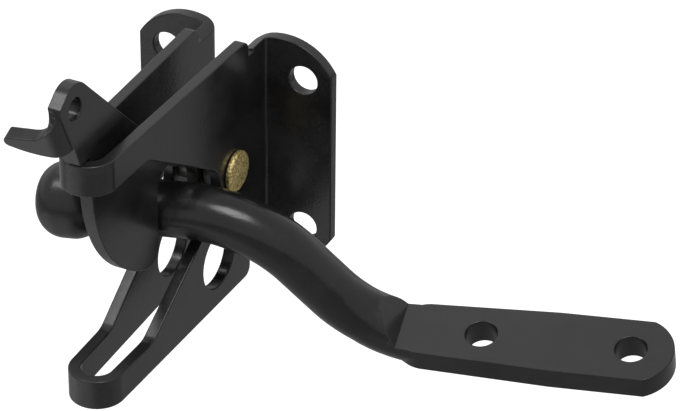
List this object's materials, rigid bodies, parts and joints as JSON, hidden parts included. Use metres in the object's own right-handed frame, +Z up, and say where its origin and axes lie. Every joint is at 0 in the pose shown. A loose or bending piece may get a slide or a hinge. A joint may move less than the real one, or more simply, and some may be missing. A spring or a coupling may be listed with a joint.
{
  "type": "automatic gate latch",
  "caption": "Black post-mounted automatic latch: a folded steel housing with a drop pawl on a rivet, and its bent strike bar caught in the mouth.",
  "frame": {"origin": "middle of the four screw holes, on the face that lies against the post", "axes": "+X to the right along the post's face, +Y into the post, +Z up"},
  "size_m": [0.1755, 0.1076, 0.1092],
  "materials": {
    "black_paint": "semi-gloss",
    "yellow_zinc": "yellow plated, slightly rough",
    "bare_steel": "plain turned steel"
  },
  "bodies": {
    "housing": {"latch_body": "black_paint", "pivot_rivet": "yellow_zinc", "pivot_spacer_left": "bare_steel", "pivot_spacer_right": "bare_steel"},
    "pawl": {"pawl": "black_paint"},
    "strike": {"strike_bar": "black_paint"}
  },
  "joints": [
    {"name": "pawl_lift", "type": "hinge", "parent": "housing", "child": "pawl", "pos_m": [0, -0.0216, 0.0012], "axis": [-1, 0, 0], "range_deg": [0, 38]},
    {"name": "strike_turn", "type": "hinge", "parent": "housing", "child": "strike", "pos_m": [0, -0.0431, -0.002], "axis": [0.9805, 0.1835, 0.0698], "range_deg": [-15, 75]}
  ]
}
